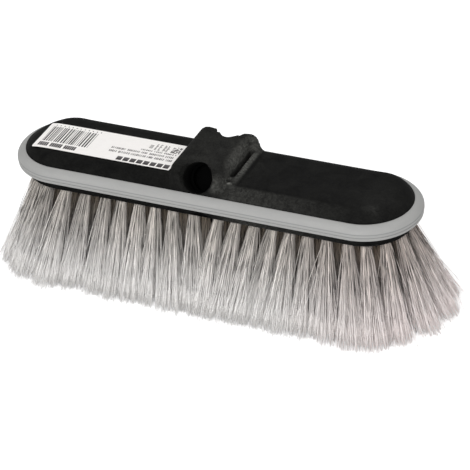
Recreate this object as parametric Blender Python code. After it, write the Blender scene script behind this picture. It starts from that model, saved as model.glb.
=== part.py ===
"""Car wash brush: a moulded block with two handle sockets, a rubber bumper round it,
a sticker on its top, and tufts of soft bristles set in its underside.

Metres, +Z up. The brush stands on its bristle tips at Z = 0, centred on the origin.
+X runs along the block, and -Y is the side that the camera of the photograph sees.
Every piece takes its size and place from the named values below.
"""

import math

import bpy
import bmesh
from mathutils import Matrix, Vector
from mathutils.bvhtree import BVHTree

# Driving dimensions of the whole brush
overall_length = 0.254
overall_width = 0.0666
bristle_length = 0.0635
fit_gap = 0.0003
overrun = 0.004
smooth_angle = math.radians(35)

# Brush block, from its underside up
rim_height = 0.015
plateau_rise = 0.0047
plateau_end_inset = 0.0190
plateau_side_inset = 0.0073
plateau_squareness = 7.0
plateau_end_flare = 0.07
crease_round = 0.0035
slope_start_share = 0.3
slope_steps = 3
underside_round = 0.001
skirt_wall = 0.0025
lip_height = 0.0030
end_dome = 0.0018
corner_steps = 12
crease_steps = 3

# Bumper ring
bumper_proud = 0.0056
bumper_height = 0.0091
bumper_drop = 0.0008
bumper_shoulder = 0.0044
shoulder_squareness = 1.7
shoulder_steps = 6
bead_height = 0.0019
bead_inset = 0.0004
step_depth = 0.0006
step_height = 0.0005
groove_depth = 0.0025
groove_height = 0.0033

# Handle boss across the middle of the block, with one socket to each side
boss_half_width = 0.0186
boss_rise = 0.0095
boss_draft = 0.0004
boss_edge_round = 0.0042
boss_foot_round = 0.0026
pillar_foot_round = 0.0048
boss_top_inset = 0.0072
boss_end_round = 0.0045
boss_corner_round = 0.0030
end_wall_steps = 4
boss_rim_margin = 0.0006
boss_embed = 0.0013
boss_sink = 0.00008
boss_dish = 0.0008
dish_steps = 6
flank_set_in = 0.0036
flank_pillar = 0.0037
flank_turn = 0.0014
round_steps = 4

socket_radius = 0.0092
socket_floor_clear = 0.0067
socket_tilt = math.radians(32)
socket_lip = 0.0005
socket_floor_chamfer = 0.0012
seat_radius = 0.0104
socket_offset = 0.0009
socket_steps = 40

# Slot at the foot of the boss's set-in flank, in a low domed pad, with a dimple in front
slot_width = 0.0036
slot_front_margin = 0.01375
slot_back_margin = 0.01015
slot_depth = 0.0035
slot_offset = 0.0003
pad_width = 0.0112
pad_rise = 0.0015
pad_front_margin = 0.00495
pad_back_margin = 0.00795
pad_reach = 0.0044
pad_past_slot = 0.0046
pad_sink = 0.0046
pad_steps = 8
dimple_radius = 0.0019
dimple_depth = 0.0014
dimple_gap = 0.0018
dimple_steps = 16

# Sticker on the left half of the top
label_end_margin = 0.0097
label_width = 0.0278
label_thickness = 0.0003
label_clear_of_boss = 0.0005
label_front_shift = 0.0035
label_bend_length = 0.0192
label_bend_steps = 10
label_cross_steps = 8

# Bristle strips and their tufts
strip_thickness = 0.003
column_count = 16
row_edge_margin = 0.0057
rows_each_side = 2
row_stagger_shares = (0.25, -0.25, 0.0, 0.25, -0.25)
end_arc_tufts = {1: 2, 2: 5}
strand_spacing = 0.00145
strand_width = 0.0019
strand_tip_width = 0.0016
strand_root_depth = 0.0012
strand_sides = 3
strand_levels = 2
fan_share = 1.15
end_flare = 0.0205
end_flare_power = 4
side_flare = 0.0172
flare_bow = 1.4
stand_cut = 0.0005

# Levels and half sizes that follow from them
block_half_length = overall_length / 2 - bumper_proud
block_half_width = overall_width / 2 - bumper_proud
straight_half_length = block_half_length - block_half_width
underside_z = bristle_length
rim_z = underside_z + rim_height
plateau_z = rim_z + plateau_rise
boss_top_z = plateau_z + boss_rise
bumper_base_z = rim_z - bumper_height
groove_top_z = rim_z - lip_height
groove_base_z = groove_top_z - groove_height
pocket_ceiling_z = underside_z + strip_thickness + fit_gap
boss_top_half_length = block_half_width - boss_top_inset
flank_back = boss_top_half_length - flank_pillar
slot_front_y = slot_front_margin - block_half_width
slot_back_y = block_half_width - slot_back_margin
pad_front_y = pad_front_margin - block_half_width
pad_back_y = block_half_width - pad_back_margin
label_left = label_end_margin - block_half_length
label_right = -(boss_half_width + boss_foot_round + label_clear_of_boss)
column_pitch = 2 * straight_half_length / column_count
row_pitch = (block_half_width - row_edge_margin) / rows_each_side


def clear_scene():
    for old in list(bpy.data.objects):
        bpy.data.objects.remove(old, do_unlink=True)


def make_material(name, colour, roughness):
    """A plain Principled material in the part's own colour."""
    material = bpy.data.materials.new(name)
    material.use_nodes = True
    shader = material.node_tree.nodes["Principled BSDF"]
    shader.inputs["Base Color"].default_value = (*colour, 1)
    shader.inputs["Roughness"].default_value = roughness
    shader.inputs["Metallic"].default_value = 0
    return material


def add_object(name, mesh, material=None):
    made = bpy.data.objects.new(name, mesh)
    bpy.context.scene.collection.objects.link(made)
    if material:
        mesh.materials.append(material)
    return made


def as_helper(made):
    """A cutter or an addition that is no piece of its own."""
    made.hide_render = True
    made.display_type = "WIRE"
    return made


def shade_round(mesh):
    mesh.shade_smooth()
    mesh.set_sharp_from_angle(angle=smooth_angle)


def outline(half_length, half_width, end_length, squareness=2.0):
    """The plan of the block seen from above, counter-clockwise.

    Each end is a superellipse quarter pair: x = end_length * cos^(2/n), y = half_width * sin^(2/n),
    where n is the squareness and 2 gives a round end. The sides between the ends are straight.
    """
    points = []
    for side in (1, -1):
        for step in range(2 * corner_steps + 1):
            angle = math.pi / 2 * (step / corner_steps - 1)
            across = math.copysign(abs(math.sin(angle)) ** (2 / squareness), angle)
            along = abs(math.cos(angle)) ** (2 / squareness)
            x = half_length - end_length + end_length * along
            points.append((side * x, side * half_width * across))
    return points


def side_ring(offset, z):
    """The block's own plan moved out by an offset, at a level."""
    plan = outline(block_half_length + offset, block_half_width + offset, block_half_width + offset)
    return [Vector((x, y, z)) for x, y in plan]


def skin(rings, closed=False):
    """Quads between rings of equal count, with a flat cap at each end unless the rings close."""
    shell = bmesh.new()
    loops = [[shell.verts.new(point) for point in ring] for ring in rings]
    pairs = list(zip(loops, loops[1:]))
    if closed:
        pairs.append((loops[-1], loops[0]))
    for lower, upper in pairs:
        for index in range(len(lower)):
            after = (index + 1) % len(lower)
            shell.faces.new((lower[index], lower[after], upper[after], upper[index]))
    if not closed:
        shell.faces.new(loops[0][::-1])
        shell.faces.new(loops[-1])
    bmesh.ops.recalc_face_normals(shell, faces=shell.faces)
    mesh = bpy.data.meshes.new("shell")
    shell.to_mesh(mesh)
    shell.free()
    shade_round(mesh)
    return mesh


def combine(target, helper, operation):
    modifier = target.modifiers.new(helper.name, "BOOLEAN")
    modifier.operation = operation
    modifier.object = helper
    modifier.solver = "EXACT"


def arc(centre_u, centre_v, radius, start, end, steps):
    """Points of a circle's arc in a plane, angles in degrees."""
    turn = [math.radians(start + (end - start) * step / steps) for step in range(steps + 1)]
    return [(centre_u + radius * math.cos(a), centre_v + radius * math.sin(a)) for a in turn]


def block_rings():
    """Rings from the strip pocket's ceiling, down and round the skirt, up to the plateau."""
    rings = [
        side_ring(-skirt_wall, pocket_ceiling_z),
        side_ring(-skirt_wall, underside_z),
        side_ring(-underside_round, underside_z),
        side_ring(0, underside_z + underside_round),
        side_ring(0, groove_base_z),
        side_ring(-groove_depth, groove_base_z),
        side_ring(-groove_depth, groove_top_z),
        side_ring(0, groove_top_z),
    ]
    rim = side_ring(0, rim_z)
    crease = plateau_ring(0)
    inner = plateau_ring(crease_round)
    rings.append(rim)
    for step in range(1, slope_steps):
        share = (1 - slope_start_share) * step / slope_steps
        rings.append([on_slope(a, b, share) for a, b in zip(rim, crease)])
    start = [on_slope(a, b, 1 - slope_start_share) for a, b in zip(rim, crease)]
    for step in range(crease_steps + 1):
        share = step / crease_steps
        ring = []
        for a, b, c in zip(start, crease, inner):
            ring.append(a.lerp(b, share).lerp(b.lerp(c, share), share))
        rings.append(ring)
    return rings


def on_slope(low, high, share):
    """A point of the way up from the rim, straight along the sides and domed at the ends.

    The dome is a parabola of the share, and eases in over the way into the end.
    """
    point = low.lerp(high, share)
    into_end = max(0, abs(point.x) - straight_half_length) / block_half_width
    eased = 1 - (1 - into_end) ** 2
    point.z += end_dome * eased * 4 * share * (1 - share)
    return point


def plateau_ring(inset):
    """The flat top's edge, drawn in by an inset.

    It widens towards its ends with the fourth power of the way there.
    """
    half_length = block_half_length - plateau_end_inset - inset
    half_width = block_half_width - plateau_side_inset - inset
    plan = outline(half_length, half_width, half_width, plateau_squareness)
    flare = [1 + plateau_end_flare * (x / half_length) ** 4 for x, y in plan]
    return [Vector((x, y * grown, plateau_z)) for (x, y), grown in zip(plan, flare)]


def boss_end_profile():
    """Half of the boss seen from the side, as (distance from the middle, level), from rim to top.

    The end wall leans in from just under the rim's slope to a rounded edge, and the top is flat.
    """
    foot_y = block_half_width - boss_rim_margin
    foot = (foot_y, top_level(foot_y) - boss_sink)
    centre = (boss_top_half_length, boss_top_z - boss_end_round)
    reach = math.dist(foot, centre)
    lean = math.atan2(foot[1] - centre[1], foot[0] - centre[0])
    touch = math.degrees(lean + math.acos(boss_end_round / reach))
    edge = arc(*centre, boss_end_round, touch, 90, round_steps)
    wall = []
    for step in range(end_wall_steps):
        share = step / end_wall_steps
        wall.append(tuple(a + (b - a) * share for a, b in zip(foot, edge[0])))
    return wall + edge


def slope_of_side():
    return plateau_rise / plateau_side_inset


def top_level(distance):
    """The block's top surface at a distance from its long middle line."""
    return min(plateau_z, rim_z + (block_half_width - distance) * slope_of_side())


def half_section(wall, foot_radius, y, top):
    """Half of the boss cut across at y: foot fillet, wall with draft and rounded top edge."""
    foot_z = top_level(abs(y)) - 2 * boss_sink
    share = (top - foot_z) / boss_rise
    foot_round = foot_radius * share
    edge_round = boss_edge_round * share
    half = [(wall + foot_round, foot_z - boss_embed)]
    half += arc(wall + foot_round, foot_z + foot_round, foot_round, -90, -180, round_steps)
    edge = wall - boss_draft * share
    half += arc(edge - edge_round, top - edge_round, edge_round, 0, 90, round_steps)
    return half


def left_wall(y):
    """The wall's place, drawn in along an ellipse's quarter at the boss's corners."""
    past = max(abs(y) - boss_top_half_length, 0) / (block_half_width - boss_top_half_length)
    return boss_half_width - boss_corner_round * (1 - math.sqrt(1 - past * past))


def right_wall(y):
    """The right flank's place and foot fillet: set in, except for the pillar at its back."""
    share = min(max((y - flank_back) / flank_turn, 0), 1)
    wall = left_wall(y) - flank_set_in * (1 - share)
    return wall, boss_foot_round + (pillar_foot_round - boss_foot_round) * share


def boss_section(y, top):
    """The whole cross-section at y, its top dished as a parabola between the two edges."""
    left_half = half_section(left_wall(y), boss_foot_round, y, top)
    right = [Vector((x, y, z)) for x, z in half_section(*right_wall(y), y, top)]
    left = [Vector((-x, y, z)) for x, z in reversed(left_half)]
    share = (top - top_level(abs(y))) / boss_rise
    dish = []
    for step in range(1, dish_steps):
        way = step / dish_steps
        point = right[-1].lerp(left[0], way)
        point.z -= boss_dish * share * 4 * way * (1 - way)
        dish.append(point)
    return right + dish + left


def make_boss():
    profile = boss_end_profile()
    stations = [(-y, z) for y, z in profile]
    stations += [(flank_back, boss_top_z), (flank_back + flank_turn, boss_top_z)]
    stations += [(y, z) for y, z in reversed(profile)]
    return as_helper(add_object("boss", skin([boss_section(y, z) for y, z in stations])))


def socket_mouth():
    """The centre of the socket's mouth, on the +Y side, and the direction out of it."""
    outward = Vector((0, math.cos(socket_tilt), math.sin(socket_tilt)))
    upward = Vector((0, -math.sin(socket_tilt), math.cos(socket_tilt)))
    lowest = Vector((socket_offset, block_half_width, rim_z - socket_lip))
    return lowest + socket_radius * upward, outward


def socket_depth():
    """From the mouth to the floor, whose centre keeps clear of the block's long middle plane."""
    mouth, outward = socket_mouth()
    return (mouth.y - socket_floor_clear) / outward.y


def turned(profile, steps):
    """A profile of (radius, height) turned about Z, closed by a flat cap at each end."""
    rings = []
    for radius, height in profile:
        turn = [2 * math.pi * step / steps for step in range(steps)]
        rings.append([Vector((radius * math.cos(a), radius * math.sin(a), height)) for a in turn])
    return skin(rings)


def make_socket_cutter(name, side):
    """The bore, with the flat seat round its mouth, on the +Y side or turned to the -Y side."""
    chamfer = socket_floor_chamfer
    depth = socket_depth()
    profile = [
        (socket_radius - chamfer, -depth),
        (socket_radius, chamfer - depth),
        (socket_radius, 0),
        (seat_radius, 0),
        (seat_radius, depth),
    ]
    cutter = as_helper(add_object(name, turned(profile, socket_steps)))
    mouth, outward = socket_mouth()
    lean = Matrix.Rotation(math.pi / 2 - socket_tilt, 4, "X").inverted()
    placed = Matrix.Translation(mouth) @ lean
    if side < 0:
        placed = Matrix.Rotation(math.pi, 4, "Z") @ placed
    cutter.matrix_world = placed
    return cutter


def capsule_plan(front_y, back_y, radius, steps):
    """A slot's plan: two half circles and the straight sides between them, along Y."""
    back = arc(0, back_y - radius, radius, 0, 180, steps)
    front = arc(0, front_y + radius, radius, 180, 360, steps)
    return back + front


def make_slot_cutter():
    """A round-ended slot along the foot of the boss."""
    plan = capsule_plan(slot_front_y, slot_back_y, slot_width / 2, round_steps)
    x = slot_x()
    low = [Vector((x + u, y, plateau_z - slot_depth)) for u, y in plan]
    high = [Vector((p.x, p.y, plateau_z + overrun)) for p in low]
    return as_helper(add_object("slot_cutter", skin([low, high])))


def slot_x():
    return boss_half_width - flank_set_in + slot_width / 2 - slot_offset


def make_pad():
    """A low domed pad round the slot: its plan shrinks as a quarter ellipse up to its top."""
    x = slot_x() + slot_width / 2 + pad_past_slot - pad_width / 2
    rings = []
    for step in range(round_steps + 1):
        angle = math.pi / 2 * step / round_steps
        shrink = pad_reach * (1 - math.cos(angle))
        z = plateau_z + pad_rise * math.sin(angle)
        plan = capsule_plan(pad_front_y + shrink, pad_back_y - shrink, pad_width / 2 - shrink, pad_steps)
        rings.append([Vector((x + u, y, z)) for u, y in plan])
    sunk = [Vector((p.x, p.y, plateau_z - pad_sink)) for p in rings[0]]
    return as_helper(add_object("pad", skin([sunk] + rings)))


def make_dimple_cutter():
    """A shallow round mark in front of the slot's end."""
    y = slot_front_y - dimple_gap - dimple_radius
    profile = [
        (dimple_radius / 2, -dimple_depth),
        (dimple_radius, 0),
        (dimple_radius, overrun),
    ]
    cutter = as_helper(add_object("dimple_cutter", turned(profile, dimple_steps)))
    cutter.location = (slot_x(), y, plateau_z)
    return cutter


def make_block(material):
    """The moulded block: skirt, bumper groove, sloping top, boss, sockets, pad and slot."""
    block = add_object("brush_block", skin(block_rings()), material)
    combine(block, make_boss(), "UNION")
    combine(block, make_pad(), "UNION")
    combine(block, make_slot_cutter(), "DIFFERENCE")
    combine(block, make_dimple_cutter(), "DIFFERENCE")
    combine(block, make_socket_cutter("back_socket_cutter", 1), "DIFFERENCE")
    combine(block, make_socket_cutter("front_socket_cutter", -1), "DIFFERENCE")
    return block


def bumper_profile():
    """The ring's cross-section as (distance out from the block's side, level).

    A shoulder that is a superellipse quarter, the outer face, a thin step, the bead below
    it, and a tongue that sits in the block's groove.
    """
    inner = fit_gap
    proud = bumper_proud
    power = 2 / shoulder_squareness
    points = []
    for step in range(shoulder_steps):
        angle = math.pi / 2 * step / shoulder_steps
        out = inner + (proud - inner) * math.sin(angle) ** power
        points.append((out, rim_z - bumper_drop - bumper_shoulder * (1 - math.cos(angle) ** power)))
    points.append((proud, rim_z - bumper_drop - bumper_shoulder))
    bead_top_z = bumper_base_z + bead_height
    points.append((proud, bead_top_z + step_height))
    points.append((proud - step_depth, bead_top_z + step_height))
    points.append((proud - step_depth, bead_top_z))
    points.append((proud - bead_inset, bead_top_z))
    points.append((proud - bead_inset, bumper_base_z + bead_inset))
    points.append((proud - 2 * bead_inset, bumper_base_z))
    points.append((inner, bumper_base_z))
    points.append((inner, groove_base_z + fit_gap))
    points.append((inner - groove_depth, groove_base_z + fit_gap))
    points.append((inner - groove_depth, groove_top_z - fit_gap))
    points.append((inner, groove_top_z - fit_gap))
    return points


def make_bumper(material):
    """The rubber ring: its profile carried round the block's plan."""
    rings = [side_ring(out, z) for out, z in bumper_profile()]
    return add_object("rubber_bumper", skin(rings, closed=True), material)


def make_label(material):
    """The sticker: a thin sheet on the block's top. It bends along the block only, as paper does.

    Each column stands on the highest point of the top under it.
    """
    shell = bmesh.new()
    shell.from_mesh(skin(block_rings()))
    tree = BVHTree.FromBMesh(shell)
    bend = label_bend_length / label_bend_steps
    columns = [label_left + bend * step for step in range(label_bend_steps + 1)]
    front = -label_width / 2 - label_front_shift
    back = front + label_width
    down = Vector((0, 0, -1))
    sheet = []
    for x in columns + [label_right]:
        levels = []
        for step in range(label_cross_steps + 1):
            y = front + label_width * step / label_cross_steps
            levels.append(tree.ray_cast(Vector((x, y, boss_top_z + overrun)), down)[0].z)
        low = max(levels) + fit_gap
        high = low + label_thickness
        corners = ((front, low), (back, low), (back, high), (front, high))
        sheet.append([Vector((x, y, z)) for y, z in corners])
    shell.free()
    return add_object("sticker", skin(sheet), material)


def splay(x, y):
    """How far a strand that starts at (x, y) has moved out at its tip."""
    reach = straight_half_length + rows_each_side * row_pitch
    along = math.copysign(end_flare * (abs(x) / reach) ** end_flare_power, x)
    return along, side_flare * y / (rows_each_side * row_pitch)


def strand_rings(tuft_x, tuft_y, step_x, step_y):
    """A strand's rings from its root in the strip down to the plane that it stands on."""
    root_x = tuft_x + step_x
    root_y = tuft_y + step_y
    out_x, out_y = splay(root_x, root_y)
    fan_x = step_x * fan_share
    fan_y = step_y * fan_share
    drop = bristle_length + stand_cut
    shares = [level / strand_levels for level in range(strand_levels)]
    shares.append(bristle_length / drop)
    facing = math.atan2(root_y, root_x)
    rings = []
    for share in [0] + shares:
        bent = share**flare_bow
        x = root_x + (out_x + fan_x) * bent
        y = root_y + (out_y + fan_y) * bent
        z = underside_z - drop * share
        if not rings:
            z = underside_z + strand_root_depth
        radius = (strand_width + (strand_tip_width - strand_width) * share) / math.sqrt(3)
        turn = [facing + 2 * math.pi * side / strand_sides for side in range(strand_sides)]
        rings.append([Vector((x + radius * math.cos(a), y + radius * math.sin(a), z)) for a in turn])
    return rings


def tuft_strands(tuft_x, tuft_y):
    """Four strands round a tuft's centre."""
    half = strand_spacing
    corners = [(half, half), (-half, half), (-half, -half), (half, -half)]
    return [strand_rings(tuft_x, tuft_y, step_x, step_y) for step_x, step_y in corners]


def strip_with_strands(name, plan, tufts, material):
    """A slice of the underside that carries its strands, fused into one body."""
    low = [Vector((x, y, underside_z)) for x, y in plan]
    high = [Vector((x, y, underside_z + strip_thickness)) for x, y in plan]
    strip = add_object(name, skin([low, high]), material)
    strands = [rings for tuft in tufts for rings in tuft_strands(*tuft)]
    bundle = bmesh.new()
    for rings in strands:
        bundle.from_mesh(skin(rings))
    mesh = bpy.data.meshes.new(name + "_strands")
    bundle.to_mesh(mesh)
    bundle.free()
    combine(strip, as_helper(add_object(name + "_strands", mesh)), "UNION")
    return strands


def column_tufts(centre_x):
    """One tuft in each row, every other row moved along by a share of the pitch."""
    tufts = []
    for row, share in zip(range(-rows_each_side, rows_each_side + 1), row_stagger_shares):
        tufts.append((centre_x + share * column_pitch, row * row_pitch))
    return tufts


def column_plan(centre_x):
    half_x = (column_pitch - fit_gap) / 2
    half_y = block_half_width - skirt_wall - fit_gap
    return [
        (centre_x - half_x, -half_y),
        (centre_x + half_x, -half_y),
        (centre_x + half_x, half_y),
        (centre_x - half_x, half_y),
    ]


def end_tufts(side):
    """Tufts on arcs round the end's own centre, evenly spread between the last column's rows."""
    tufts = []
    for ring, count in end_arc_tufts.items():
        radius = ring * row_pitch
        for index in range(count):
            angle = math.pi * ((index + 1) / (count + 1) - 1 / 2)
            x = straight_half_length + radius * math.cos(angle)
            tufts.append((side * x, side * radius * math.sin(angle)))
    return tufts


def end_plan(side):
    """The half disc beyond the last column, with the gap to that column and to the skirt."""
    inset = skirt_wall + fit_gap
    half_width = block_half_width - inset
    start = straight_half_length + fit_gap / 2
    half = outline(block_half_length - inset, half_width, half_width)[: 2 * corner_steps + 1]
    plan = [(start, -half_width)] + half[1:-1] + [(start, half_width)]
    return [(side * x, side * y) for x, y in plan]


def least_gap(strands):
    """The least distance between two strands' middle lines, less their circles, at each level."""
    least = math.inf
    for level in range(1, strand_levels + 2):
        centres = [sum(rings[level], Vector()) / strand_sides for rings in strands]
        radius = (strands[0][level][0] - centres[0]).length
        for index, centre in enumerate(centres):
            for other in centres[index + 1 :]:
                least = min(least, (centre - other).length - 2 * radius)
    return least


def make_bristles(material):
    strands = []
    for index in range(column_count):
        centre_x = (index - (column_count - 1) / 2) * column_pitch
        name = f"bristle_strip_{index + 1:02d}"
        strands += strip_with_strands(name, column_plan(centre_x), column_tufts(centre_x), material)
    for name, side in (("bristle_end_left", -1), ("bristle_end_right", 1)):
        strands += strip_with_strands(name, end_plan(side), end_tufts(side), material)
    print(f"{len(strands)} strands, least gap {least_gap(strands):.5f} m")


def main():
    clear_scene()
    make_block(make_material("foamed_plastic_black", (0.018, 0.018, 0.018), 0.62))
    make_bumper(make_material("soft_rubber_grey", (0.43, 0.44, 0.435), 0.7))
    make_label(make_material("sticker_paper", (0.9, 0.9, 0.89), 0.45))
    make_bristles(make_material("bristle_grey", (0.6, 0.58, 0.56), 0.6))


main()
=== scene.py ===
# %% [markdown]
# # A car wash brush
#
# The real brush is a black foamed plastic block with a grey rubber bumper round its rim, a
# printed sticker on its top and about a hundred tufts of soft bristles below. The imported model
# gives every solid its size and place. This lesson dresses it: fine bristles, a smooth bumper,
# socket threads, the sticker's print, and a material for each surface.

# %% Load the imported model
import math

import bmesh
import bpy
import numpy as np
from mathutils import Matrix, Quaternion, Vector


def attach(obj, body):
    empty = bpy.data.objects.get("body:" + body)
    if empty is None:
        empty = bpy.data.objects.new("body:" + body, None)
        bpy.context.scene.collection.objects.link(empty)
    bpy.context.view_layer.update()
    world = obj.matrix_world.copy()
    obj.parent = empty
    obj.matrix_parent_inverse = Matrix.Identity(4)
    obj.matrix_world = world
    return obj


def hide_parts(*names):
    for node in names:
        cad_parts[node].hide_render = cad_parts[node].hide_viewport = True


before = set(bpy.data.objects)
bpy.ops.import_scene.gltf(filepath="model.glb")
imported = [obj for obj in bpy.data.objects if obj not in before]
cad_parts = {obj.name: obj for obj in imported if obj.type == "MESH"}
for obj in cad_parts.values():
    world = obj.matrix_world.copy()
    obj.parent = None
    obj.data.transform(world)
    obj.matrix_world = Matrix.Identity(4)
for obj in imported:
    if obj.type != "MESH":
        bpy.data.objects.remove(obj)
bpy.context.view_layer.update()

MM = 0.001

# %% [markdown]
# ## Two small tools
#
# Colours are written as the sRGB hex values that a colour picker shows, and Blender wants linear
# light, so one function turns them. Materials are built from nodes. One function adds a node with
# its settings and its links and gives back one output, so that each material reads as a list.

# %% Colour and node tools
def linear(code):
    """sRGB hex to linear RGBA: c / 12.92 up to 0.04045, and ((c + 0.055) / 1.055) ^ 2.4 above."""
    parts = [int(code[start : start + 2], 16) / 255 for start in (1, 3, 5)]
    return (*[c / 12.92 if c <= 0.04045 else ((c + 0.055) / 1.055) ** 2.4 for c in parts], 1)


def set_inputs(tree, node, inputs):
    """Links an input to a socket, turns a hex colour to linear, and sets anything else as it is."""
    for name, value in inputs.items():
        if isinstance(value, bpy.types.NodeSocket):
            tree.links.new(value, node.inputs[name])
        else:
            node.inputs[name].default_value = linear(value) if isinstance(value, str) else value


def add_node(tree, kind, inputs, output=0, **settings):
    """Adds a node with its inputs and its own settings, and gives back one of its outputs."""
    node = tree.nodes.new(kind)
    for name, value in settings.items():
        setattr(node, name, value)
    set_inputs(tree, node, inputs)
    return node.outputs[output]


def new_material(name):
    """An empty material, its shader, and the place of each point of the surface in metres."""
    material = bpy.data.materials.new(name)
    material.use_nodes = True
    tree = material.node_tree
    place = add_node(tree, "ShaderNodeTexCoord", {}, "Object")
    return material, tree, tree.nodes["Principled BSDF"], place


print("mid grey #808080 in linear light:", round(linear("#808080")[0], 4))

# %% [markdown]
# ## The camera
#
# The outlines of the photograph were fitted to the block's known shape. That gave a long lens,
# a turn of 25 degrees to the brush's left, a height of 33 degrees above the floor, and a small
# tilt of the camera itself.

# %% Camera
camera_turn = math.radians(25.2)
camera_height = math.radians(33.2)
camera_roll = math.radians(-3.47)
camera_place = Vector((0.5121, -1.0672, 0.8064))
lens_mm = 182.18
sensor_mm = 36

look = Vector((
    -math.sin(camera_turn) * math.cos(camera_height),
    math.cos(camera_turn) * math.cos(camera_height),
    -math.sin(camera_height),
))
camera = bpy.data.objects.new("camera", bpy.data.cameras.new("camera"))
bpy.context.scene.collection.objects.link(camera)
camera.data.lens = lens_mm
camera.data.sensor_width = sensor_mm
camera.location = camera_place
camera.rotation_mode = "QUATERNION"
camera.rotation_quaternion = look.to_track_quat("-Z", "Y") @ Quaternion((0, 0, 1), camera_roll)
bpy.context.scene.camera = camera
print("camera stands", round(camera_place.length, 3), "m from the middle of the brush")

# %% [markdown]
# ## The white background
#
# The photograph is a catalogue picture: white all round, and light from every side. A picture of
# a studio could light it, but a plain bright world does as well and is easy to change. The world
# is full white for what is seen and about half as strong for what lights the brush, so that the
# brush doesn't wash out.

# %% World
world_strength = 0.48
background_strength = 1.0

scene = bpy.context.scene
scene.view_settings.view_transform = "Standard"


def seen_ray(tree):
    """1 for rays of the camera, a mirror or a clear body, and 0 for those that carry light."""
    kinds = ("Is Camera Ray", "Is Glossy Ray", "Is Transmission Ray")
    first, second, third = [add_node(tree, "ShaderNodeLightPath", {}, kind) for kind in kinds]
    either = add_node(tree, "ShaderNodeMath", {0: first, 1: second}, operation="MAXIMUM")
    return add_node(tree, "ShaderNodeMath", {0: either, 1: third}, operation="MAXIMUM")


def make_world():
    """White for what is seen, and a softer white for what lights the brush."""
    world = bpy.data.worlds.new("studio")
    world.use_nodes = True
    tree = world.node_tree
    shown = add_node(tree, "ShaderNodeMix", {"Factor": seen_ray(tree), 2: world_strength,
                     3: background_strength}, data_type="FLOAT")
    set_inputs(tree, tree.nodes["Background"], {"Color": "#FFFFFF", "Strength": shown})
    return world


scene.world = make_world()
print("the world lights the brush with a strength of", world_strength)

# %% [markdown]
# ## The floor
#
# The real brush stands on something plain and white. A floor that is only pale would look grey
# beside the white world, so rays from the camera see it a little brighter than it is. It turns
# white, and only the shadow near the brush stays.

# %% Floor
floor_reach = 4.0
floor_glow = 0.5


def make_floor():
    """A square that faces up, with a material that glows a little for seen rays."""
    mesh = bpy.data.meshes.new("floor")
    r = floor_reach
    mesh.from_pydata([(-r, -r, 0), (r, -r, 0), (r, r, 0), (-r, r, 0)], [], [(0, 1, 2, 3)])
    material, tree, shader, _ = new_material("studio_floor_paint")
    glow = add_node(tree, "ShaderNodeMath", {0: seen_ray(tree), 1: floor_glow},
                    operation="MULTIPLY")
    set_inputs(tree, shader, {"Base Color": "#EFEFEF", "Roughness": 0.9,
               "Specular IOR Level": 0.0, "Emission Color": "#FFFFFF", "Emission Strength": glow})
    mesh.materials.append(material)
    floor = bpy.data.objects.new("floor", mesh)
    scene.collection.objects.link(floor)


make_floor()
print("the floor reaches", floor_reach, "m to each side")

# %% [markdown]
# ## Lamps
#
# The light of the photograph is a little stronger from the front and the top. Small lamps or a sun
# would give hard shadows, so there are three large square ones.

# %% Lamps
# Each lamp: its place in metres, the side of its square in metres, and its watts
lamps = {
    "front_lamp": ((0.15, -1.1, 0.75), 0.9, 11),
    "right_lamp": ((0.95, -0.1, 0.65), 0.5, 0.9),
    "top_lamp": ((0, 0.1, 1.4), 0.8, 3),
}


def add_lamp(name, place, size, watts):
    """A square soft lamp that looks at the middle of the brush."""
    lamp = bpy.data.objects.new(name, bpy.data.lights.new(name, "AREA"))
    lamp.data.size = size
    lamp.data.energy = watts
    lamp.location = place
    lamp.rotation_mode = "QUATERNION"
    lamp.rotation_quaternion = (-Vector(place)).to_track_quat("-Z", "Y")
    scene.collection.objects.link(lamp)


for name, settings in lamps.items():
    add_lamp(name, *settings)
print("lamps:", list(lamps))

# %% [markdown]
# ## From arrays to meshes
#
# Every new piece is a grid of points worked out with numpy. One function lists the quads of a
# grid, and one puts points and faces into a mesh in a single step, which stays fast with
# hundreds of thousands of faces. A third turns the faces of a closed mesh outwards.

# %% Mesh tools
smooth_angle = math.radians(35)


def grid_quads(rows, columns, around=False, closed=False):
    """The quads between neighbours of a rows x columns grid, wrapped along either way."""
    row = np.arange(rows if closed else rows - 1)[:, None]
    column = np.arange(columns if around else columns - 1)[None, :]
    row_after = (row + 1) % rows
    column_after = (column + 1) % columns
    corners = (row * columns + column, row * columns + column_after,
               row_after * columns + column_after, row_after * columns + column)
    return np.stack(np.broadcast_arrays(*corners), axis=-1).reshape(-1, 4)


def end_caps(count):
    """The two end faces of a grid of count rings with four corners each."""
    last = 4 * (count - 1)
    return np.array([[3, 2, 1, 0], [last, last + 1, last + 2, last + 3]])


def mesh_of(name, points, face_groups, material, smooth=True):
    """A mesh from an array of points and arrays of faces, one array for each count of corners."""
    corners = np.concatenate([np.asarray(group).ravel() for group in face_groups])
    sizes = np.concatenate([np.full(len(group), np.shape(group)[1]) for group in face_groups])
    starts = np.concatenate([[0], np.cumsum(sizes)[:-1]])
    mesh = bpy.data.meshes.new(name)
    mesh.vertices.add(len(points))
    mesh.vertices.foreach_set("co", np.asarray(points, np.float32).ravel())
    mesh.loops.add(len(corners))
    mesh.loops.foreach_set("vertex_index", corners.astype(np.int32))
    mesh.polygons.add(len(sizes))
    mesh.polygons.foreach_set("loop_start", starts.astype(np.int32))
    mesh.update(calc_edges=True)
    if smooth:
        mesh.shade_smooth()
    mesh.materials.append(material)
    return mesh


def face_outwards(mesh):
    """Turns the faces of a closed mesh outwards and marks its sharp edges."""
    shell = bmesh.new()
    shell.from_mesh(mesh)
    bmesh.ops.recalc_face_normals(shell, faces=shell.faces)
    shell.to_mesh(mesh)
    shell.free()
    mesh.set_sharp_from_angle(angle=smooth_angle)
    return mesh


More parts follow.
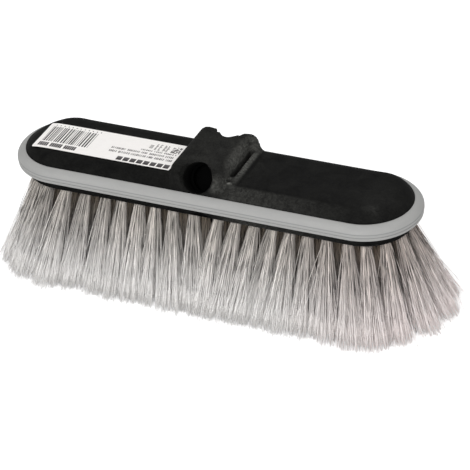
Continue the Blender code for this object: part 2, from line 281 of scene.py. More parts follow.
def add_piece(name, mesh, *nodes):
    """Puts the mesh in the scene as a piece that rides on the brush and stands for the nodes."""
    piece = bpy.data.objects.new(name, mesh)
    scene.collection.objects.link(piece)
    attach(piece, "root")
    if nodes:
        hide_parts(*nodes)
    return piece


print("a 3 x 4 grid has", len(grid_quads(3, 4)), "quads")

# %% [markdown]
# ## Where the block is dark
#
# Light hardly gets into the two handle bores and the slot. Lamps and shadows alone leave them too
# grey, because foam at the bottom of a hole is unlit from every side. So two functions say how
# deep inside a bore or the slot a point lies, and the material paints shade there.

# %% Dark bores and slot
socket_tilt = math.radians(32)
socket_out = np.array([0, math.cos(socket_tilt), math.sin(socket_tilt)])
mouth_centre = np.array([0.9, 22.82, 85.8]) * MM
bore_radius = 9.2 * MM
bore_margin = 0.2 * MM
mouth_margin = 0.3 * MM
mouth_darkness = 0.5
dark_depth = 12 * MM
slot_x = 16.5 * MM
slot_front_y = -12.15 * MM
slot_back_y = 15.75 * MM
slot_radius = 1.85 * MM
slot_mouth_z = 83.9 * MM
slot_edges = (0.6 * MM, 0.2 * MM)
slot_fade = (1.2 * MM, -0.5 * MM)
slot_darkness = 0.6


def in_socket(tree, place, side):
    """1 deep inside a bore, less near its mouth, and 0 outside it.

    A point's height along the bore is its offset from the mouth, dotted with the bore's axis. It is
    inside where it is nearer to the axis than the radius, and lower than the mouth.
    """
    mouth = tuple(mouth_centre * np.array([side, side, 1]))
    out = tuple(socket_out * np.array([1, side, 1]))
    offset = add_node(tree, "ShaderNodeVectorMath", {0: place, 1: mouth}, operation="SUBTRACT")
    along = add_node(tree, "ShaderNodeVectorMath", {0: offset, 1: out}, "Value",
                     operation="DOT_PRODUCT")
    foot = add_node(tree, "ShaderNodeVectorMath", {0: out, "Scale": along}, operation="SCALE")
    across = add_node(tree, "ShaderNodeVectorMath", {0: offset, 1: foot}, "Value",
                      operation="DISTANCE")
    near = add_node(tree, "ShaderNodeMath", {0: across, 1: bore_radius + bore_margin},
                    operation="LESS_THAN")
    below = add_node(tree, "ShaderNodeMath", {0: along, 1: -mouth_margin}, operation="LESS_THAN")
    inside = add_node(tree, "ShaderNodeMath", {0: near, 1: below}, operation="MULTIPLY")
    deep = add_node(tree, "ShaderNodeMapRange", {"Value": along, "From Min": -mouth_margin,
                    "From Max": -dark_depth, "To Min": mouth_darkness})
    return add_node(tree, "ShaderNodeMath", {0: inside, 1: deep}, operation="MULTIPLY")


def in_slot(tree, place):
    """Above 0 near the line between the slot's ends, within its radius and below its mouth.

    The nearest point of that line has the slot's x, the point's own z, and its y held between the
    two ends.
    """
    y = add_node(tree, "ShaderNodeSeparateXYZ", {0: place}, "Y")
    z = add_node(tree, "ShaderNodeSeparateXYZ", {0: place}, "Z")
    held = add_node(tree, "ShaderNodeClamp", {"Value": y, "Min": slot_front_y,
                    "Max": slot_back_y})
    nearest = add_node(tree, "ShaderNodeCombineXYZ", {"X": slot_x, "Y": held, "Z": z})
    away = add_node(tree, "ShaderNodeVectorMath", {0: place, 1: nearest}, "Value",
                    operation="DISTANCE")
    near = add_node(tree, "ShaderNodeMapRange", {"Value": away,
                    "From Min": slot_radius + slot_edges[0],
                    "From Max": slot_radius + slot_edges[1]})
    below = add_node(tree, "ShaderNodeMapRange", {"Value": z,
                     "From Min": slot_mouth_z + slot_fade[0],
                     "From Max": slot_mouth_z + slot_fade[1], "To Max": slot_darkness})
    return add_node(tree, "ShaderNodeMath", {0: near, 1: below}, operation="MULTIPLY")


print("handle bores point up at", round(math.degrees(socket_tilt)), "degrees")

# %% [markdown]
# ## Where the block is worn, lit and in shade
#
# Hands have worn the skin paler round the boss. Rubbing has left grey scuffs on the boss's foot,
# with three small nicks near the slot, and the right end has paler grey patches. A painted
# highlight lies on the boss's right flank and the rib beside the slot, with scuffs in it, and a
# painted sheen lies along the front slope. The small dimple before the slot gets painted shade, and
# a painted shadow runs in a thin line right of the rib. All this could be painted by hand, but a
# painted image can't be read or changed as a list can. Each zone is a ball, squeezed along each
# axis: (centre in mm, squeeze, reach in mm, strength).

# %% Worn zones and painted light
zone_core_share = 0.35
handled_zone = ((0, 0, 90), (1, 1, 1), 36)
scuff_and_highlight_zones = [
    # Painted highlight on the boss's right flank and the rib, with scuffs in it
    ((17, 3, 86), (1.5, 0.42, 1), 13, 0.85),
    # Scuffs on the boss's foot
    ((11.5, -20.5, 84.5), (1, 0.7, 1), 8, 0.6),
    # Paler grey patches at the right end
    ((105, -8, 80), (0.6, 0.6, 1), 14, 0.05),
    ((103, -17.5, 80), (0.7, 1, 1), 6, 0.2),
    # Three small nicks near the slot
    ((17.9, -20.6, 82), (0.7, 1.2, 0.3), 1.7, 2.0),
    ((23.8, -22.7, 81), (0.6, 1.2, 0.3), 1.8, 2.0),
    ((14.3, -18.9, 83), (0.7, 1.2, 0.3), 1.6, 2.0),
]
painted_shade_zones = [
    # Painted shade in the dimple before the slot
    ((14.8, -14.8, 83.5), (0.8, 1, 1), 2.1, 0.75),
    # Painted shadow in a thin line right of the rib
    ((22.8, 2, 84), (1, 0.09, 0.3), 1.8, 0.6),
]
rib_edge = 21.0 * MM
rib_fade = 1.4 * MM
# Painted sheen along the front slope, mottled by the same ragged noise
sheen_slope_y = -20 * MM
sheen_slope_edge = 1 * MM
sheen_slope_start = (8 * MM, 20 * MM)
sheen_slope_end = (105 * MM, 30 * MM)


def faded_near(tree, place, centre, squeeze, reach, strength=1.0):
    """The strength in a zone's core, fading to 0 at its reach.

    The distance is the length of (place - centre) * squeeze. Lengths are in millimetres.
    """
    moved = add_node(tree, "ShaderNodeVectorMath", {0: place, 1: Vector(centre) * MM},
                     operation="SUBTRACT")
    squeezed = add_node(tree, "ShaderNodeVectorMath", {0: moved, 1: squeeze},
                        operation="MULTIPLY")
    away = add_node(tree, "ShaderNodeVectorMath", {0: squeezed}, "Value", operation="LENGTH")
    return add_node(tree, "ShaderNodeMapRange", {"Value": away, "From Min": reach * MM,
                    "From Max": zone_core_share * reach * MM, "To Max": strength})


def greatest_of(tree, place, zones):
    """The greatest of several zones at each point."""
    result = faded_near(tree, place, *zones[0])
    for zone in zones[1:]:
        result = add_node(tree, "ShaderNodeMath", {0: result, 1: faded_near(tree, place, *zone)},
                          operation="MAXIMUM")
    return result


def on_front_slope(tree, place):
    """1 on the front slope near the boss, fading out along it towards the right end."""
    x = add_node(tree, "ShaderNodeSeparateXYZ", {0: place}, "X")
    y = add_node(tree, "ShaderNodeSeparateXYZ", {0: place}, "Y")
    front = add_node(tree, "ShaderNodeMapRange", {"Value": y,
                     "From Min": sheen_slope_y + sheen_slope_edge,
                     "From Max": sheen_slope_y - sheen_slope_edge})
    left = add_node(tree, "ShaderNodeMapRange", {"Value": x, "From Min": sheen_slope_start[0],
                    "From Max": sheen_slope_start[1]})
    right = add_node(tree, "ShaderNodeMapRange", {"Value": x, "From Min": sheen_slope_end[0],
                     "From Max": sheen_slope_end[1]})
    both = add_node(tree, "ShaderNodeMath", {0: left, 1: right}, operation="MULTIPLY")
    return add_node(tree, "ShaderNodeMath", {0: both, 1: front}, operation="MULTIPLY")


def left_of_rib_edge(tree, place, value):
    """The value on the boss and the rib, nothing right of the rib, and the value again past twice
    its x.
    """
    x = add_node(tree, "ShaderNodeSeparateXYZ", {0: place}, "X")
    left = add_node(tree, "ShaderNodeMapRange", {"Value": x, "From Min": rib_edge + rib_fade,
                    "From Max": rib_edge})
    right = add_node(tree, "ShaderNodeMath", {0: x, 1: 2 * rib_edge}, operation="GREATER_THAN")
    either = add_node(tree, "ShaderNodeMath", {0: left, 1: right}, operation="MAXIMUM")
    return add_node(tree, "ShaderNodeMath", {0: value, 1: either}, operation="MULTIPLY")


print(len(scuff_and_highlight_zones), "rubbed zones and", len(painted_shade_zones), "dark ones")

# %% [markdown]
# ## Foamed plastic
#
# The block is foamed polypropylene, moulded in one piece. Gas in the melt leaves a dull skin with
# cloudy swirls and a fine pebble. The swirls are about 9 mm, the pebble 0.9 mm. The real pebble
# is nearer 0.3 mm, too fine for the render, so it is drawn three times as coarse. Two noises on
# the object's own coordinates give both at these sizes, where an image would show seams. To the
# eye the skin is near black and matt, with no clear highlight.

# %% Foamed plastic material
swirl_size = 9 * MM
pebble_size = 0.9 * MM
pebble_height = 0.2 * MM
scuff_and_sheen_size = 2.2 * MM
slope_sheen_strength = 0.26


def foamed_plastic():
    """Near black with swirls and a pebble, worn paler round the boss, with grey scuffs, a painted
    highlight and a painted sheen beside the boss and on the front slope, and painted shade in the
    bores, the slot, the dimple and a line right of the rib.

    The grain is the mean of two noises. The grey of a scuff, a painted highlight or the painted
    sheen comes in by its zone's strength times a third, rougher noise, so that each has ragged
    edges.
    """
    material, tree, shader, place = new_material("foamed_polypropylene_black")
    swirl = add_node(tree, "ShaderNodeTexNoise", {"Vector": place, "Scale": 1 / swirl_size,
                     "Detail": 5, "Roughness": 0.62, "Distortion": 0.8}, "Fac")
    pebble = add_node(tree, "ShaderNodeTexNoise", {"Vector": place, "Scale": 1 / pebble_size,
                      "Detail": 3, "Roughness": 0.6}, "Fac")
    grain = add_node(tree, "ShaderNodeMix", {"Factor": 0.5, 2: swirl, 3: pebble},
                     data_type="FLOAT")
    mottled = add_node(tree, "ShaderNodeMapRange", {"Value": grain, "From Min": 0.38,
                       "From Max": 0.62})
    cloud = add_node(tree, "ShaderNodeMix", {"Factor": mottled, 6: "#050505", 7: "#161615"}, 2,
                     data_type="RGBA")
    handled = add_node(tree, "ShaderNodeMix", {"Factor": mottled, 6: "#111110", 7: "#292927"}, 2,
                       data_type="RGBA")
    worn = add_node(tree, "ShaderNodeMix", {"Factor": faded_near(tree, place, *handled_zone),
                    6: cloud, 7: handled}, 2, data_type="RGBA")
    patch_noise = add_node(tree, "ShaderNodeTexNoise", {"Vector": place, "Scale": 1 / scuff_and_sheen_size,
                   "Detail": 5, "Roughness": 0.75, "Distortion": 1.0}, "Fac")
    ragged = add_node(tree, "ShaderNodeMapRange", {"Value": patch_noise, "From Min": 0.4,
                      "From Max": 0.7, "To Min": 0.2})
    beside = left_of_rib_edge(tree, place, greatest_of(tree, place, scuff_and_highlight_zones))
    # Painted sheen along the front slope
    slope = add_node(tree, "ShaderNodeMath", {0: on_front_slope(tree, place),
                     1: slope_sheen_strength}, operation="MULTIPLY")
    where = add_node(tree, "ShaderNodeMath", {0: beside, 1: slope}, operation="MAXIMUM")
    scuff_and_light = add_node(tree, "ShaderNodeMath", {0: where, 1: ragged}, operation="MULTIPLY")
    # Grey scuffs, nicks and patches, with the painted highlight and the painted sheen
    scuffed_and_lit = add_node(tree, "ShaderNodeMix", {"Factor": scuff_and_light, 6: worn, 7: "#6E6E6A"}, 2,
                      data_type="RGBA")
    # Painted shade in the dimple and in a line right of the rib
    shaded = add_node(tree, "ShaderNodeMix", {"Factor": greatest_of(tree, place, painted_shade_zones),
                      6: scuffed_and_lit, 7: "#060606"}, 2, data_type="RGBA")
    # Painted shade deep in the bores and the slot, with less shine there
    bores = add_node(tree, "ShaderNodeMath", {0: in_socket(tree, place, 1),
                     1: in_socket(tree, place, -1)}, operation="MAXIMUM")
    inside = add_node(tree, "ShaderNodeMath", {0: bores, 1: in_slot(tree, place)},
                      operation="MAXIMUM")
    colour = add_node(tree, "ShaderNodeMix", {"Factor": inside, 6: shaded, 7: "#060606"}, 2,
                      data_type="RGBA")
    shine = add_node(tree, "ShaderNodeMapRange", {"Value": inside, "To Min": 0.06,
                     "To Max": 0.02})
    dull = add_node(tree, "ShaderNodeMapRange", {"Value": pebble, "To Min": 0.66,
                    "To Max": 0.86})
    bump = add_node(tree, "ShaderNodeBump", {"Height": pebble, "Strength": 0.5,
                    "Distance": pebble_height})
    set_inputs(tree, shader, {"Base Color": colour, "Roughness": dull, "IOR": 1.49,
               "Specular IOR Level": shine, "Normal": bump})
    return material


block_plastic = foamed_plastic()
print("made", block_plastic.name)

# %% [markdown]
# ## The block
#
# The block could be modelled anew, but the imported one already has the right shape, down to the
# slot and the round edges of its boss. Its mesh is loose triangles, so a copy of it is merged and
# shaded smooth up to 35 degrees. Its normals lean towards the larger faces, so that the flat top
# stays flat beside its rounded edges.

# %% Block
merge_distance = 0.002 * MM


def merged_copy(node, name, material):
    """The node's mesh with its doubles merged and its sharp edges marked."""
    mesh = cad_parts[node].data.copy()
    mesh.name = name
    shell = bmesh.new()
    shell.from_mesh(mesh)
    bmesh.ops.remove_doubles(shell, verts=shell.verts, dist=merge_distance)
    shell.to_mesh(mesh)
    shell.free()
    mesh.shade_smooth()
    mesh.set_sharp_from_angle(angle=smooth_angle)
    mesh.materials.clear()
    mesh.materials.append(material)
    return mesh


block = add_piece("block_body", merged_copy("brush_block", "block_body", block_plastic),
                  "brush_block")
block.modifiers.new("even_normals", "WEIGHTED_NORMAL").keep_sharp = True
print("block:", len(block.data.vertices), "vertices")

# %% [markdown]
# ## Socket threads
#
# A broom handle's coarse thread, five turns to the inch, screws into both sockets. A thread is a
# small section carried along a helix. The Screw modifier could turn it too, but a formula lets it
# fade. The section is a trapezium that stands on the bore's wall, and it fades in and out over a
# third of a turn, as the start of a moulded thread does. How deep the thread starts and ends
# can't be seen, so both are guessed.

# %% Socket threads
bore_depth = 19 * MM
thread_pitch = 5.08 * MM
thread_depth = 1.0 * MM
thread_root_half = 1.35 * MM
thread_crest_half = 0.55 * MM
thread_start = 9.0 * MM
thread_end = 1.8 * MM
wall_bite = 0.12 * MM
steps_a_turn = 64
fade_turns = 0.35
least_rise = 0.02


def socket_thread(name, turned):
    """Point = axis point + radius * (cos t, sin t) across + (pitch * t / 2 pi) along the bore."""
    turns = (bore_depth - thread_start - thread_end) / thread_pitch
    t = np.linspace(0, 2 * np.pi * turns, int(steps_a_turn * turns))
    done = t / (2 * np.pi)
    rise = np.clip(np.minimum(done, turns - done) / fade_turns, least_rise, 1)
    rise = rise * rise * (3 - 2 * rise)
    low = np.full_like(t, bore_radius + wall_bite)
    high = bore_radius - thread_depth * rise
    radius = np.stack([low, high, high, low], axis=1)
    side = np.array([-thread_root_half, -thread_crest_half, thread_crest_half, thread_root_half])
    along = thread_start + thread_pitch * done[:, None] + side[None, :]
    across_u = np.array([1.0, 0, 0])
    across_v = np.cross(socket_out, across_u)
    points = (mouth_centre + radius[..., None] * (np.cos(t)[:, None, None] * across_u
              + np.sin(t)[:, None, None] * across_v) - along[..., None] * socket_out)
    if turned:
        points = points * np.array([-1, -1, 1])
    groups = [grid_quads(len(t), 4, around=True), end_caps(len(t))]
    return face_outwards(mesh_of(name, points.reshape(-1, 3), groups, block_plastic))


for name, turned in (("front_socket_thread", True), ("back_socket_thread", False)):
    piece = add_piece(name, socket_thread(name, turned))
    print(name, len(piece.data.polygons), "faces")

# %% [markdown]
# ## A section carried round the rim
#
# The rim's plan is two half circles joined by straight sides, so each point of the path has a
# centre on the middle line and a direction outwards. A curve with a bevel object could carry a
# section round it, but whole arrays are as short and give even faces. The bumper and the lower
# edge of the skirt are both made this way.

# %% Path round the rim
block_half_length = 121.4 * MM
block_half_width = 27.7 * MM
straight_half_length = block_half_length - block_half_width
end_steps = 57
side_steps = 40


def plan_path(end_steps, side_steps):
    """Centres on the middle line and outward directions, counter-clockwise from the right end."""
    turn = np.linspace(-np.pi / 2, np.pi / 2, end_steps)
    half = np.stack([np.cos(turn), np.sin(turn)], axis=1)
    slide = np.linspace(1, -1, side_steps + 2)[1:-1]
    centres, outward = [], []
    for side in (1, -1):
        centres.append(np.stack([np.full(end_steps, side * straight_half_length),
                                 np.zeros(end_steps)], axis=1))
        outward.append(side * half)
        centres.append(np.stack([side * slide * straight_half_length,
                                 np.zeros(side_steps)], axis=1))
        outward.append(np.tile([0.0, side], (side_steps, 1)))
    return np.concatenate(centres), np.concatenate(outward)


def carried_round(name, section, side_steps, material):
    """A closed strip. Point = centre + (end radius + out) * direction, at the section's level."""
    centres, outward = plan_path(end_steps, side_steps)
    reach = block_half_width + section[:, 0]
    flat = centres[:, None, :] + reach[None, :, None] * outward[:, None, :]
    level = np.broadcast_to(section[:, 1], flat.shape[:2])
    points = np.concatenate([flat, level[..., None]], axis=-1).reshape(-1, 3)
    quads = grid_quads(*flat.shape[:2], around=True, closed=True)
    return face_outwards(mesh_of(name, points, [quads], material))


print("the path has", len(plan_path(end_steps, side_steps)[0]), "points")

# %% [markdown]
# ## The rubber bumper
#
# The bumper is a soft grey rubber strip, pressed out of a die and pushed into a groove round the
# rim. Its section is a rounded shoulder, a nearly flat face, a thin step and a bead below it. The
# packed one could be shown smoothed, but its shoulder has too few faces to look soft, so the
# section is worked out anew with a formula for the shoulder and a list for the rest.

# %% Bumper section
rim_z = 78.5 * MM
bumper_proud = 5.6 * MM
bumper_base_z = 69.4 * MM
shoulder_height = 4.4 * MM
shoulder_drop = 0.8 * MM
shoulder_power = 1.7
bead_height = 1.9 * MM
step_depth = 0.6 * MM
step_height = 0.5 * MM
edge_ease = 0.25 * MM
shoulder_steps = 14
fit_gap = 0.3 * MM


def bumper_section():
    """(distance out from the block, level): a superellipse quarter, the face, step and bead."""
    angle = np.linspace(0, np.pi / 2, shoulder_steps)
    power = 2 / shoulder_power
    out = fit_gap + (bumper_proud - fit_gap) * np.sin(angle) ** power
    level = rim_z - shoulder_drop - shoulder_height * (1 - np.cos(angle) ** power)
    bead_top = bumper_base_z + bead_height
    inner = bumper_proud - step_depth
    lower = [
        (bumper_proud, bead_top + step_height + edge_ease),
        (bumper_proud - edge_ease, bead_top + step_height),
        (inner, bead_top + 0.8 * step_height),
        (inner, bead_top + 0.2 * step_height),
        (bumper_proud - 2 * edge_ease, bead_top),
        (bumper_proud - edge_ease, bead_top - edge_ease),
        (bumper_proud - edge_ease, bumper_base_z + 2 * edge_ease),
        (bumper_proud - 2 * edge_ease, bumper_base_z + 0.5 * edge_ease),
        (bumper_proud - 4 * edge_ease, bumper_base_z),
        (fit_gap, bumper_base_z),
    ]
    return np.concatenate([np.stack([out, level], axis=1), lower])


print("the bumper's section has", len(bumper_section()), "points")

# %% [markdown]
# ## Soft rubber
#
# Soft rubber from a die looks dull and even, with fine bands that run along the strip and a
# little dust on them. An image could hold the bands, but it would need a seam. A noise that is
# drawn out along the strip needs none. A second fine line above the step is too shallow to model,
# so the material draws it. The step itself gets a darker grey, painted shade under its lip.

# %% Rubber bumper
upper_line = 4.3 * MM
line_half_width = 0.3 * MM
band_size = 14 * MM
band_flatness = 6
dust_size = 1.2 * MM
dust_height = 0.1 * MM


def soft_rubber():
    """Mid grey, dull, with faint bands along the strip from its die and a little dust.

    The bands are a noise whose level counts six times, so that it is drawn out along the strip.
    The step and the upper line are a darker grey where the level is near theirs. At the step it is
    painted shade under the lip.
    """
    material, tree, shader, place = new_material("soft_rubber_grey_extruded")
    flattened = add_node(tree, "ShaderNodeMapping", {"Vector": place,
                         "Scale": (1, 1, band_flatness)})
    band = add_node(tree, "ShaderNodeTexNoise", {"Vector": flattened, "Scale": 1 / band_size,
                    "Detail": 3, "Roughness": 0.5}, "Fac")
    dust = add_node(tree, "ShaderNodeTexNoise", {"Vector": place, "Scale": 1 / dust_size,
                    "Detail": 3, "Roughness": 0.65}, "Fac")
    both = add_node(tree, "ShaderNodeMix", {"Factor": 0.35, 2: band, 3: dust}, data_type="FLOAT")
    clean = add_node(tree, "ShaderNodeMix", {"Factor": both, 6: "#8F8F8E", 7: "#A0A09E"}, 2,
                     data_type="RGBA")
    level = add_node(tree, "ShaderNodeSeparateXYZ", {0: place}, "Z")
    # Painted shade at the step, under the lip of the face above it
    in_step = add_node(tree, "ShaderNodeMath", {0: level, 1: bumper_base_z + bead_height
                       + 0.5 * step_height, 2: 0.6 * step_height}, operation="COMPARE")
    step_shade = add_node(tree, "ShaderNodeMix", {"Factor": in_step, 6: clean, 7: "#868786"}, 2,
                       data_type="RGBA")
    in_line = add_node(tree, "ShaderNodeMath", {0: level, 1: bumper_base_z + upper_line,
                       2: line_half_width}, operation="COMPARE")
    colour = add_node(tree, "ShaderNodeMix", {"Factor": in_line, 6: step_shade, 7: "#828382"}, 2,
                      data_type="RGBA")
    bump = add_node(tree, "ShaderNodeBump", {"Height": dust, "Strength": 0.15,
                    "Distance": dust_height})
    set_inputs(tree, shader, {"Base Color": colour, "Normal": bump, "IOR": 1.52,
               "Roughness": 0.58})
    return material


bumper_mesh = carried_round("bumper_strip", bumper_section(), side_steps, soft_rubber())
bumper = add_piece("bumper_strip", bumper_mesh, "rubber_bumper")
print("bumper:", len(bumper.data.polygons), "faces")

# %% [markdown]
# ## The sticker
#
# The sticker is white paper with a clay coat, which gives it a soft gloss and hides all but a
# faint cloud of its fibres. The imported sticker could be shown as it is, but its bend is coarse
# and its corners are square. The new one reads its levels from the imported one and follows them
# with a finer curve where it bends down at the left. Its corners are cut round, as a label cutter
# leaves them.

# %% Sticker
label_columns = 90
label_rows = 12
corner_radius = 0.9 * MM
label_thickness = 0.3 * MM
same_place = 0.002 * MM
fibre_size = 2.5 * MM


def label_levels():
    """The sticker's columns, the level of its face at each, its front and its back edge."""
    co = np.array([v.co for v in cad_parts["sticker"].data.vertices])
    xs = np.unique(np.round(co[:, 0], 6))
    face = np.array([co[np.abs(co[:, 0] - x) < same_place, 2].max() for x in xs])
    return xs, face, co[:, 1].min(), co[:, 1].max()


label_x, label_face, label_front, label_back = label_levels()


def face_level(x):
    """The level of the sticker's face at x, between the model's own columns."""
    return np.interp(x, label_x, label_face)


def label_sheet():
    """Rings across the sheet: half width is cut back by r - sqrt(r^2 - d^2) near either end."""
    ease = np.linspace(-np.pi / 2, np.pi / 2, label_columns)
    x = (label_x[0] + label_x[-1]) / 2 + (label_x[-1] - label_x[0]) / 2 * np.sin(ease)
    from_end = np.minimum(x - label_x[0], label_x[-1] - x)
    d = np.clip(corner_radius - from_end, 0, corner_radius)
    cut = corner_radius - np.sqrt(corner_radius**2 - d**2)
    share = np.linspace(0, 1, label_rows)
    front = (label_front + cut)[:, None]
    back = (label_back - cut)[:, None]
    y = front + (back - front) * share
    top = np.broadcast_to(face_level(x)[:, None], y.shape)
    wide = np.broadcast_to(x[:, None], y.shape)
    upper = np.stack([wide, y, top], axis=-1)
    lower = np.stack([wide, y, top - label_thickness], axis=-1)[:, ::-1]
    return np.concatenate([upper, lower], axis=1)


def coated_paper():
    """Warm white paper with a faint fibre cloud and a soft gloss."""
    material, tree, shader, place = new_material("coated_paper_white")
    fibre = add_node(tree, "ShaderNodeTexNoise", {"Vector": place, "Scale": 1 / fibre_size,
                     "Detail": 4, "Roughness": 0.6}, "Fac")
    colour = add_node(tree, "ShaderNodeMix", {"Factor": fibre, 6: "#F1EEEB", 7: "#FCF9F6"}, 2,
                      data_type="RGBA")
    set_inputs(tree, shader, {"Base Color": colour, "IOR": 1.5, "Roughness": 0.42})
    return material


def make_label():
    """The rings as a closed mesh, with one cap at each end."""
    grid = label_sheet()
    rows, columns = grid.shape[:2]
    quads = grid_quads(rows, columns, around=True)[:, ::-1]
    first = np.arange(columns)
    caps = np.array([first, (rows - 1) * columns + first[::-1]])
    mesh = mesh_of("sticker_paper", grid.reshape(-1, 3), [quads, caps], coated_paper())
    mesh.set_sharp_from_angle(angle=smooth_angle)
    return mesh


label = add_piece("sticker_paper", make_label(), "sticker")
print("sticker from x", round(label_x[0] / MM, 1), "to", round(label_x[-1] / MM, 1), "mm")

# %% [markdown]
# ## The print
#
# The print on the sticker is upright bars, rules of short dashes and small squares, and spells
# nothing. The marks could be typed in one by one, but a few loops with a seed give an uneven
# rhythm in a few lines. Marks are listed as (x from the left end, y from the front edge, length,
# width) in millimetres.

# %% Print marks
bars_start, bars_end = 3.2, 33
bar_widths = [0.3, 0.45, 0.7, 0.95]
bar_gaps = [0.5, 0.7, 1.0]
# Each line of small dashes: (y, first x, last x, height)
dash_lines = [(8.3, 46.9, 88.2, 2.1), (12.0, 46.9, 88.2, 1.9), (15.4, 64.8, 88.2, 1.4)]
dash_widths = (0.35, 0.75)
dash_pitch = (0.95, 1.2)
group_gap = 0.8
cell_share = 0.6
column_starts = (71.9, 74.2, 77.1, 79.2)
bar_random = np.random.default_rng(11)


def bar_marks():
    """Upright bars of seeded widths and gaps, with a row of small ticks behind them."""
    marks, x = [], bars_start
    while x < bars_end:
        width = bar_random.choice(bar_widths)
        marks.append((x, 7.3, width, 16.6))
        x += width + bar_random.choice(bar_gaps)
    marks += [(4.0 + 2.7 * i, 25.0, 0.5, 1.0) for i in range(12)]
    return marks


def rule_marks():
    """Rows of upright dashes in groups, which look like a grey line from afar."""
    marks = []
    for y, start, end, height in dash_lines:
        x = start
        while x < end - 1:
            for _ in range(bar_random.integers(4, 10)):
                if x < end - 1:
                    marks.append((x, y, bar_random.uniform(*dash_widths), height))
                    x += bar_random.uniform(*dash_pitch)
            x += group_gap
    return marks


def block_marks():
    """A bold broken rule and a dark strip near the front edge, a square of cells, small columns."""
    marks = [(54.8 + 4.35 * i, 0.9, 3.5, 4.0) for i in range(8)]
    marks += [(2.8 + 1.3 * i, 1.9, 1.1, 4.0) for i in range(20) if i % 7 != 5]
    for row in range(9):
        for column in range(7):
            if bar_random.random() < cell_share:
                marks.append((82.6 + 0.8 * column, 17.8 + 0.76 * row, 0.7, 0.66))
    for row in range(10):
        marks += [(x, 17.9 + 0.68 * row, bar_random.uniform(0.5, 1.6), 0.4)
                  for x in column_starts]
    marks += [(68.2, 19.0 + 1.0 * row, 2.2, 0.5) for row in range(4)]
    return marks


print_marks = bar_marks() + rule_marks() + block_marks()
print(len(print_marks), "marks")

# %% [markdown]
# ## Printing ink
#
# An image could hold the print, but it blurs when seen close, so each mark is a thin slab of ink
# that follows the paper. Printing ink is a warm black, and the paper's grain shows in it as small
# specks.

# %% Ink
ink_height = 0.03 * MM
ink_sunk = 0.02 * MM
speck_size = 0.7 * MM
mark_pieces = 8


def ink_slabs(marks):
    """Each mark is a row of quads along x, lifted off the paper, with its sides closed."""
    marks = np.array(marks) * MM
    share = np.linspace(0, 1, mark_pieces + 1)
    x = label_x[0] + marks[:, 0, None] + marks[:, 2, None] * share
    level = face_level(x)
    front = np.broadcast_to(label_front + marks[:, 1, None], x.shape)
    back = front + marks[:, 3, None]
    ring = [(front, level - ink_sunk), (front, level + ink_height),
            (back, level + ink_height), (back, level - ink_sunk)]
    points = np.stack([np.stack([x, y, z], axis=-1) for y, z in ring], axis=2)
    count = mark_pieces + 1
    one = np.concatenate([grid_quads(count, 4, around=True), end_caps(count)])
    shift = 4 * count * np.arange(len(marks))
    return points.reshape(-1, 3), (one[None] + shift[:, None, None]).reshape(-1, 4)


def printing_ink():
    """Warm black ink with small paler specks where the paper shows through."""
    material, tree, shader, place = new_material("printing_ink_black")
    speck = add_node(tree, "ShaderNodeTexNoise", {"Vector": place, "Scale": 1 / speck_size,
                     "Detail": 2}, "Fac")
    colour = add_node(tree, "ShaderNodeMix", {"Factor": speck, 6: "#171314", 7: "#332C2D"}, 2,
                      data_type="RGBA")
    set_inputs(tree, shader, {"Base Color": colour, "Roughness": 0.4})
    return material


ink_points, ink_quads = ink_slabs(print_marks)
ink_mesh = mesh_of("sticker_print", ink_points, [ink_quads], printing_ink(), smooth=False)
ink = add_piece("sticker_print", ink_mesh)
print("print:", len(ink_quads), "faces")

# %% [markdown]
# ## Where the tufts are
#
# The tufts are set in rows across the underside and in arcs round its ends, much as in the model.
# A machine sets them one by one and not quite evenly, so an even grid would look too neat. The
# front row stands where the photograph shows it, and the row behind it fills its gaps for an eye
# to the right of the brush. The nodes of the model are slices of the underside, and each piece of
# this lesson carries the tufts of one slice, so that it can stand for it.

# %% Tuft centres
column_count = 16
column_pitch = 2 * straight_half_length / column_count
row_pitch = 11 * MM
row_numbers = np.arange(-2, 3)
row_stagger = np.array([0.25, -0.25, 0.0, -0.25, 0.0]) * column_pitch
back_row_stretch = 1.035
front_row_x = np.array([-86.6, -74.1, -61, -50.9, -39.2, -29, -18, -4.8, 11.2, 22.7, 34, 45.2,
                        56.2, 67, 78.3, 90.9]) * MM
second_row_shift = 0.7 * MM
arc_radius = {-1: (1.9 * MM, 9.5 * MM, 19 * MM), 1: (1.9 * MM, 11 * MM, 22 * MM)}
arc_count = (1, 3, 6)
arc_reach = {-1: (0, 55, 75), 1: (0, 55, 70)}
arc_widening = {-1: 1.1, 1: 1.0}
underside_z = 63.5 * MM


def column_tufts(index):
    """(x, y) of a column's tufts: rows moved along by turns, and the front row as measured."""
    x = (index - (column_count - 1) / 2) * column_pitch + row_stagger
    x = np.where(row_numbers == -2, front_row_x[index], x)
    x = np.where(row_numbers == -1, front_row_x[index] + second_row_shift, x)
    x = np.where(row_numbers == 2, back_row_stretch * x, x)
    return np.stack([x, row_numbers * row_pitch], axis=1)


def end_tufts(side):
    """(x, y) of an end's tufts: arc radius * (cos, widening * sin) round the end's own centre."""
    tufts = []
    for radius, count, reach in zip(arc_radius[side], arc_count, arc_reach[side]):
        angle = np.radians(np.linspace(-reach, reach, count))
        x = straight_half_length + radius * np.cos(angle)
        y = arc_widening[side] * radius * np.sin(angle)
        tufts.append(np.stack([side * x, y], axis=1))
    return np.concatenate(tufts)


tufts_of = {f"bristle_strip_{index + 1:02d}": column_tufts(index) for index in range(column_count)}
tufts_of["bristle_end_left"] = end_tufts(-1)
tufts_of["bristle_end_right"] = end_tufts(1)
all_tufts = np.concatenate(list(tufts_of.values()))
print(len(all_tufts), "tufts")

# %% [markdown]
# ## The lower edge of the skirt
#
# The block's skirt ends a millimetre below the plate that holds the tufts, and shows as a thin
# black line under the bumper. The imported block's skirt is a little shorter than that. It could be
# stretched, but a small section carried round, as the bumper's is, leaves the block as it is. The
# section is a list of (distance out from the block, level above the plate's underside).

